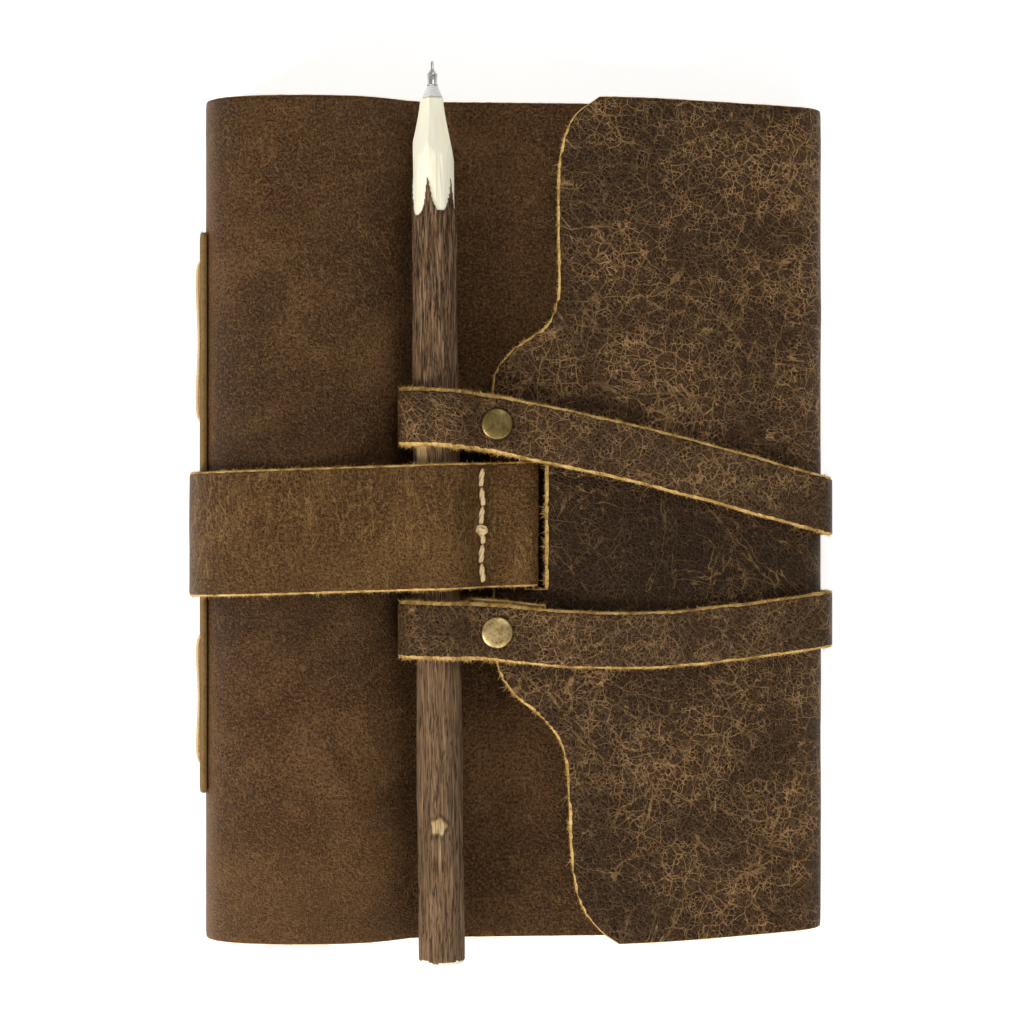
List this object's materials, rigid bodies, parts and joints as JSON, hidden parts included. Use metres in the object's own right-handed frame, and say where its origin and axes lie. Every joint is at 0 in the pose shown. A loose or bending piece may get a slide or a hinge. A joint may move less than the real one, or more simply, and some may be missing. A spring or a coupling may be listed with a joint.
{
  "type": "leather notebook cover",
  "caption": "Handmade leather wrap journal cover with stitched pages, a tongued flap, a forked strap and a twig pen that locks it shut.",
  "frame": {"origin": "middle of the footprint, on the surface the journal lies on", "axes": "+X to the fore-edge, +Y up the page to the pen's tip, +Z out of the front cover"},
  "size_m": [0.1593, 0.2183, 0.0378],
  "materials": {
    "cover_leather": "matt pull-up leather, fine pebble grain",
    "flap_leather": "waxed pull-up leather with light crackle and worn patches",
    "strap_leather": "waxed leather with raw golden cut edges",
    "tail_leather": "waxed leather with raw golden cut edges",
    "patch_suede": "rough undyed suede",
    "paper": "cream handmade paper",
    "thread": "waxed linen thread",
    "twig_bark": "dry bark with a whittled pale point",
    "refill_plastic": "translucent white plastic",
    "collar_plastic": "pale plastic",
    "pen_steel": "turned nickel silver",
    "antique_brass": "antique brass, rubbed bright at the rim"
  },
  "bodies": {
    "book": {"cover_back": "cover_leather", "cover_spine": "cover_leather", "spine_patch": "patch_suede", "signature_1": "paper", "signature_2": "paper", "signature_3": "paper", "signature_4": "paper", "signature_5": "paper", "signature_6": "paper", "signature_7": "paper", "signature_8": "paper", "binding_thread_1": "thread", "binding_thread_2": "thread", "binding_thread_3": "thread", "binding_thread_4": "thread", "binding_thread_5": "thread", "binding_thread_6": "thread", "binding_thread_7": "thread", "binding_thread_8": "thread"},
    "pen": {"pen_barrel": "twig_bark", "pen_refill": "refill_plastic", "pen_collar": "collar_plastic", "pen_tip": "pen_steel"},
    "front_panel": {"cover_front": "cover_leather"},
    "fore_edge_panel": {"cover_fore_edge": "cover_leather"},
    "flap_panel": {"cover_flap": "flap_leather"},
    "strap_over_front": {"strap_front": "strap_leather", "strap_thread": "thread"},
    "strap_round_spine": {"strap_spine": "strap_leather"},
    "strap_under_back": {"strap_back": "strap_leather"},
    "upper_tail_turn": {"upper_tail_side": "tail_leather"},
    "upper_tail": {"upper_tail_front": "tail_leather", "upper_rivet_cap": "antique_brass", "upper_rivet_back": "antique_brass"},
    "lower_tail_turn": {"lower_tail_side": "tail_leather"},
    "lower_tail": {"lower_tail_front": "tail_leather", "lower_rivet_cap": "antique_brass", "lower_rivet_back": "antique_brass"}
  },
  "joints": [
    {"name": "pen_slide", "type": "slide", "parent": "book", "child": "pen", "axis": [-0.0108, 0.9999, 0], "range_m": [0, 0.15]},
    {"name": "front_cover_fold", "type": "hinge", "parent": "book", "child": "front_panel", "pos_m": [-0.0729, 0, 0.0217], "axis": [0, -1, 0], "range_deg": [0, 191], "deforming": ["cover_front"]},
    {"name": "fore_edge_fold", "type": "hinge", "parent": "book", "child": "fore_edge_panel", "pos_m": [0.0744, 0, 0.0025], "axis": [0, 1, 0], "range_deg": [0, 91], "deforming": ["cover_fore_edge"]},
    {"name": "flap_fold", "type": "hinge", "parent": "fore_edge_panel", "child": "flap_panel", "pos_m": [0.0747, 0, 0.0147], "axis": [0, 1, 0], "range_deg": [0, 75], "deforming": ["cover_flap"]},
    {"name": "strap_bar_fold", "type": "hinge", "parent": "flap_panel", "child": "strap_over_front", "pos_m": [0.0051, 0, 0.0266], "axis": [0, 1, 0], "range_deg": [0, 13.75], "deforming": ["strap_front", "strap_thread"]},
    {"name": "strap_spine_fold", "type": "hinge", "parent": "strap_over_front", "child": "strap_round_spine", "pos_m": [-0.0761, 0, 0.0244], "axis": [0, 1, 0], "range_deg": [0, 132.25], "deforming": ["strap_spine"]},
    {"name": "strap_back_fold", "type": "hinge", "parent": "strap_round_spine", "child": "strap_under_back", "pos_m": [-0.0766, 0, 0.0029], "axis": [0, 1, 0], "range_deg": [0, 53], "deforming": ["strap_back"]},
    {"name": "upper_turn_fold", "type": "hinge", "parent": "strap_under_back", "child": "upper_tail_turn", "pos_m": [0.0766, 0, 0.0029], "axis": [0, 1, 0], "range_deg": [0, 89], "deforming": ["upper_tail_side"]},
    {"name": "upper_tail_fold", "type": "hinge", "parent": "upper_tail_turn", "child": "upper_tail", "pos_m": [0.0769, 0, 0.0169], "axis": [0, 1, 0], "range_deg": [0, 78], "deforming": ["upper_tail_front"]},
    {"name": "lower_turn_fold", "type": "hinge", "parent": "strap_under_back", "child": "lower_tail_turn", "pos_m": [0.0766, -0.026, 0.0029], "axis": [0, 1, 0], "range_deg": [0, 90], "deforming": ["lower_tail_side"]},
    {"name": "lower_tail_fold", "type": "hinge", "parent": "lower_tail_turn", "child": "lower_tail", "pos_m": [0.0769, -0.026, 0.0169], "axis": [0, 1, 0], "range_deg": [0, 78], "deforming": ["lower_tail_front"]}
  ],
  "couplings": [
    {"joint": "fore_edge_fold", "follows": "front_cover_fold", "ratio": 0.4712},
    {"joint": "flap_fold", "follows": "front_cover_fold", "ratio": 0.38743},
    {"joint": "strap_bar_fold", "follows": "front_cover_fold", "ratio": 0.06675},
    {"joint": "strap_spine_fold", "follows": "front_cover_fold", "ratio": 0.68717},
    {"joint": "strap_back_fold", "follows": "front_cover_fold", "ratio": 0.27225},
    {"joint": "upper_tail_fold", "follows": "upper_turn_fold", "ratio": 0.86517},
    {"joint": "lower_turn_fold", "follows": "upper_turn_fold", "ratio": 1},
    {"joint": "lower_tail_fold", "follows": "upper_turn_fold", "ratio": 0.86517}
  ]
}
